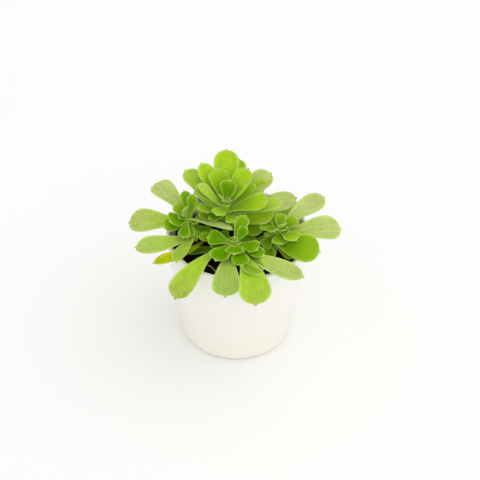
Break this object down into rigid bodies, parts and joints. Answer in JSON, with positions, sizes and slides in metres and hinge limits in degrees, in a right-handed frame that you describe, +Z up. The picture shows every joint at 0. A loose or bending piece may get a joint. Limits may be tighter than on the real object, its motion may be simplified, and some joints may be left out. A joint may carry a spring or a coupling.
{
  "type": "potted aeonium",
  "caption": "Leafy succulent with branched rosettes of spoon-shaped leaves, in soil in a tapered white ceramic pot that stands on a flat underside.",
  "frame": {"origin": "centre of the flat underside of the pot, on the surface that it stands on", "axes": "+Z up along the pot's axis; the front of the plant, where old leaves hang over the rim, faces -Y; +X is to the right seen from the front"},
  "size_m": [0.1644, 0.1413, 0.1463],
  "materials": {
    "pot_ceramic": "plain warm white, satin",
    "peat": "loose near-black peat with bark bits, rough",
    "bark": "thin dry brown bark",
    "leaf_green": "fleshy living leaf, velvety, with paler margins",
    "leaf_yellow": "fading fleshy leaf with a brown tip"
  },
  "bodies": {
    "root": {"pot": "pot_ceramic", "soil": "peat", "stem": "bark", "rosette_main": "leaf_green", "rosette_front": "leaf_green", "rosette_right": "leaf_green", "rosette_left": "leaf_green", "leaf_yellow": "leaf_yellow"}
  },
  "joints": []
}
